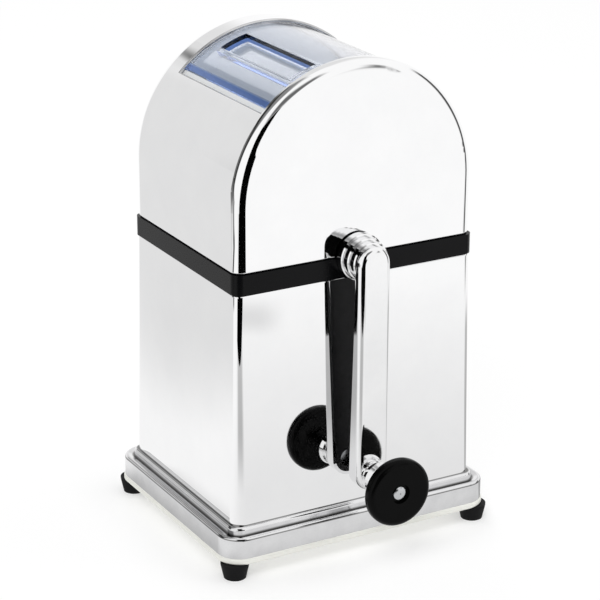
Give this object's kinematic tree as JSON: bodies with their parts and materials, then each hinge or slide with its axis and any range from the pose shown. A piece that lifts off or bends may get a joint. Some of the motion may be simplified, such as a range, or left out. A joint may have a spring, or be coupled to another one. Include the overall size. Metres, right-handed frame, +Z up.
{
  "type": "hand crank ice crusher",
  "caption": "Upright plated ice crusher with an arched top, a sliding clear lid over the hopper, a front crank with a round knob and a container below for the ice.",
  "frame": {"origin": "middle of the whole object's footprint, crank and knob included, on the surface that the feet stand on", "axes": "+Z up; the crank and its knob are on the -Y side; +X is to the right of someone facing the crank"},
  "size_m": [0.1592, 0.1692, 0.2615],
  "materials": {
    "bright_plate": "mirror-bright nickel and chrome plate on pressed steel",
    "bright_crank": "bright chrome plate",
    "ivory_plastic": "satin moulded plastic",
    "black_rubber": "matt rubber",
    "screw_steel": "zinc plated",
    "floor_plastic": "satin moulded plastic",
    "bin_plastic": "frosted clear plastic",
    "black_plastic": "gloss black moulded plastic",
    "bush_metal": "sintered bronze",
    "tool_steel": "ground stainless steel",
    "spacer_metal": "turned aluminium",
    "white_plastic": "smooth white moulded plastic",
    "clear_blue": "clear blue moulded plastic",
    "black_insert": "satin black moulded plastic",
    "knob_plastic": "gloss black moulded plastic"
  },
  "bodies": {
    "base": {"base_plate": "ivory_plastic", "base_plinth": "bright_plate", "foot_front_left": "black_rubber", "foot_front_right": "black_rubber", "foot_rear_left": "black_rubber", "foot_rear_right": "black_rubber", "foot_screws": "screw_steel", "lower_housing": "bright_plate", "container_floor": "floor_plastic", "floor_screws": "screw_steel", "ice_bin": "bin_plastic"},
    "head": {"mechanism_frame": "black_plastic", "front_bush": "bush_metal", "rear_bush": "bush_metal", "fixed_comb": "tool_steel", "comb_screws": "screw_steel", "upper_housing": "bright_plate", "shell_screws": "screw_steel", "hopper": "white_plastic", "hopper_screws": "screw_steel"},
    "lid": {"lid": "clear_blue"},
    "crank": {"crusher_shaft": "tool_steel", "crusher_wheel_1": "tool_steel", "crusher_wheel_2": "tool_steel", "crusher_wheel_3": "tool_steel", "crusher_wheel_4": "tool_steel", "crusher_wheel_5": "tool_steel", "crusher_wheel_6": "tool_steel", "wheel_spacer_1": "spacer_metal", "wheel_spacer_2": "spacer_metal", "wheel_spacer_3": "spacer_metal", "wheel_spacer_4": "spacer_metal", "wheel_spacer_5": "spacer_metal", "end_spacer_front": "spacer_metal", "end_spacer_rear": "spacer_metal", "thrust_washer": "tool_steel", "retaining_clip": "tool_steel", "crank_hub": "bright_crank", "hub_grub_screw": "screw_steel", "crank_arm": "bright_crank", "arm_insert": "black_insert", "knob_spindle": "tool_steel", "knob_collar": "bright_crank"},
    "knob": {"crank_knob": "knob_plastic"}
  },
  "joints": [
    {"name": "head_lift", "type": "slide", "parent": "base", "child": "head", "axis": [0, 0, 1], "range_m": [0, 0.12]},
    {"name": "lid_slide", "type": "hinge", "parent": "head", "child": "lid", "pos_m": [0, 0.0177, 0.1925], "axis": [0, 1, 0], "range_deg": [0, 50]},
    {"name": "crank_spin", "type": "hinge", "parent": "head", "child": "crank", "pos_m": [0, 0.0177, 0.161], "axis": [0, 1, 0], "continuous": true},
    {"name": "knob_spin", "type": "hinge", "parent": "crank", "child": "knob", "pos_m": [0, -0.0808, 0.0472], "axis": [0, 1, 0], "continuous": true}
  ]
}
